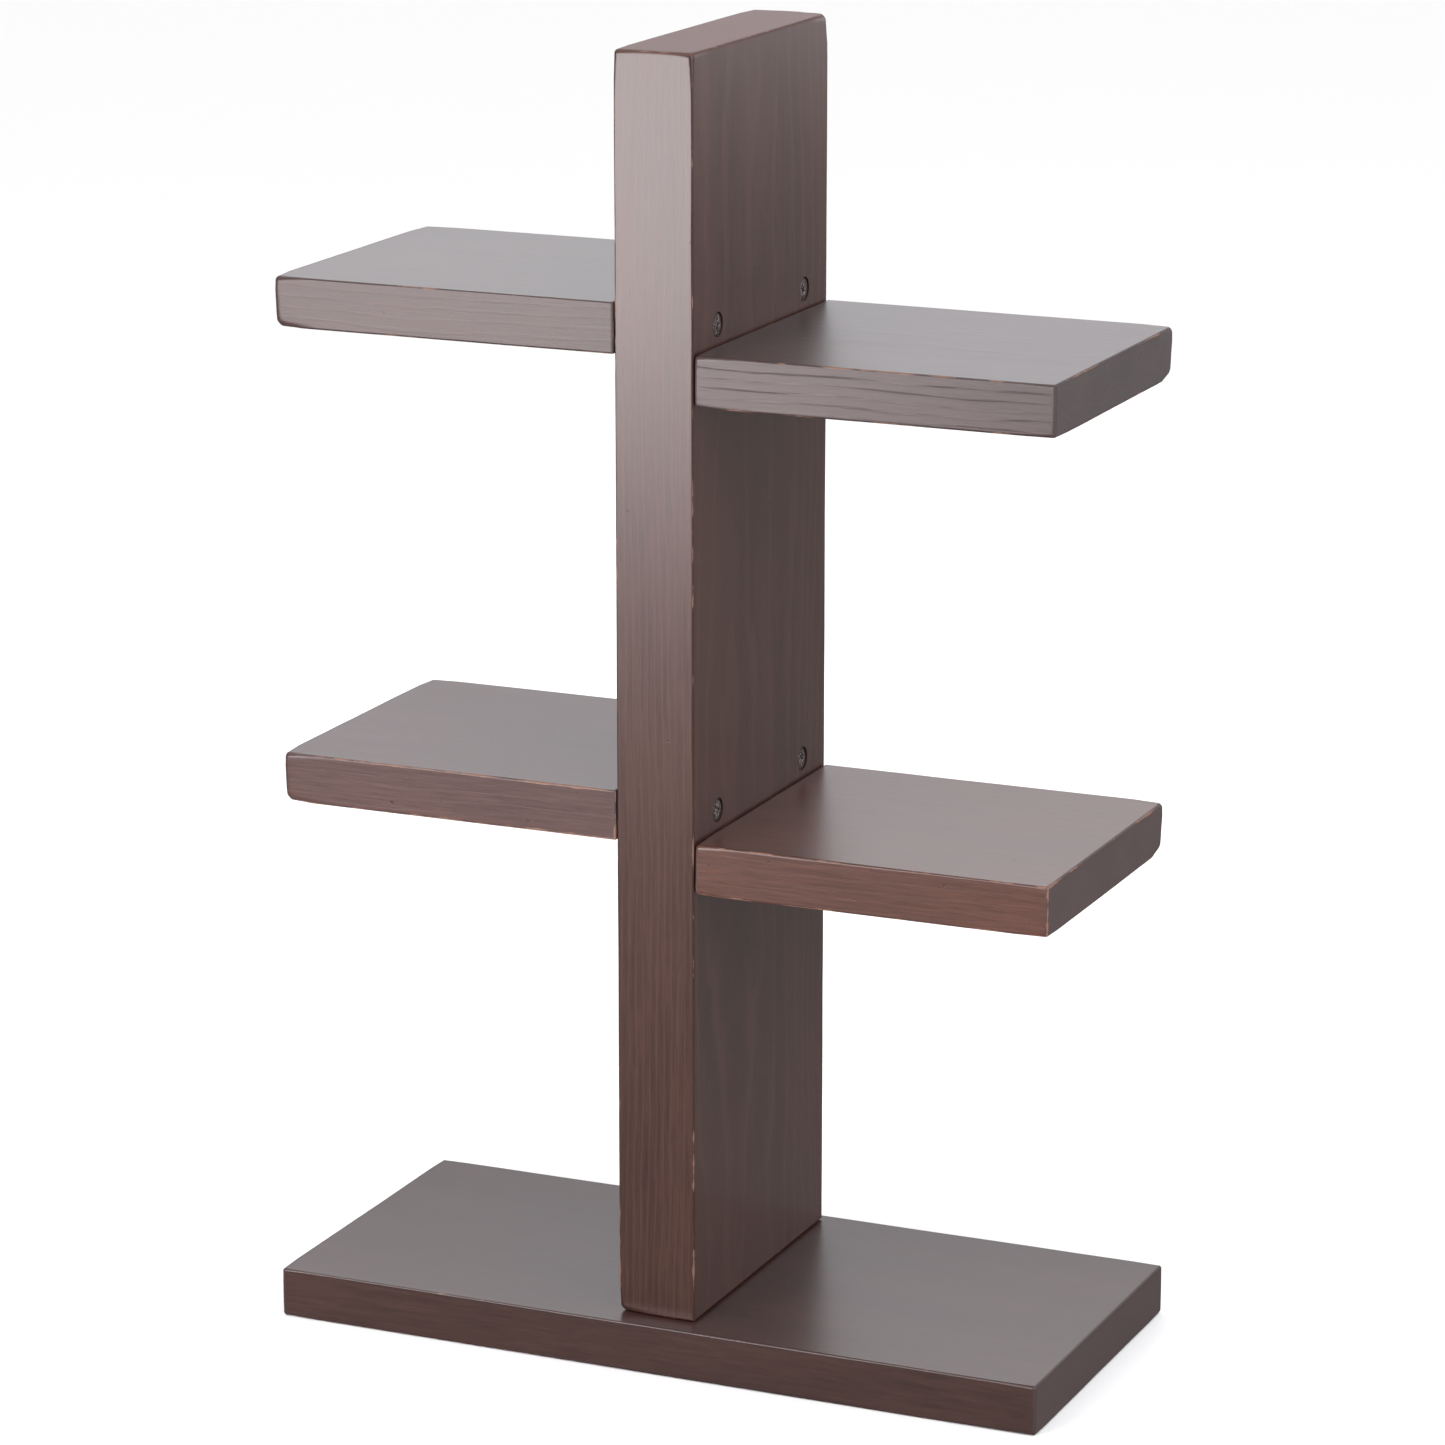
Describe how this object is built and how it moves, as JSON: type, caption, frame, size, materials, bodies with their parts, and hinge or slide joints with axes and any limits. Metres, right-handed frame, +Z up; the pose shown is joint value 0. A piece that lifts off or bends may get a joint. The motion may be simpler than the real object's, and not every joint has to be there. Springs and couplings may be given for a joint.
{
  "type": "mug tree",
  "caption": "Free-standing mug stand: a flat base, a tall upright board and staggered shelves on both sides, screwed together from dark stained wood",
  "frame": {"origin": "middle of the base board's underside, on the surface that the stand rests on", "axes": "+Z up along the upright, +X to the right along the base's length, +Y to the back; the upright's narrow edge faces -Y"},
  "size_m": [0.3, 0.135, 0.48],
  "materials": {
    "stained_wood": "dark walnut stain under satin lacquer, rubbed through to tan along the edges",
    "dark_screw": "dark coated steel, satin, with a cross recess"
  },
  "bodies": {
    "root": {"base_board": "stained_wood", "upright_board": "stained_wood", "shelf_upper_left": "stained_wood", "shelf_upper_right": "stained_wood", "shelf_lower_left": "stained_wood", "shelf_lower_right": "stained_wood", "screw_upper_left_front": "dark_screw", "screw_upper_left_back": "dark_screw", "screw_upper_right_front": "dark_screw", "screw_upper_right_back": "dark_screw", "screw_lower_left_front": "dark_screw", "screw_lower_left_back": "dark_screw", "screw_lower_right_front": "dark_screw", "screw_lower_right_back": "dark_screw", "screw_base_front": "dark_screw", "screw_base_middle": "dark_screw", "screw_base_back": "dark_screw"}
  },
  "joints": []
}
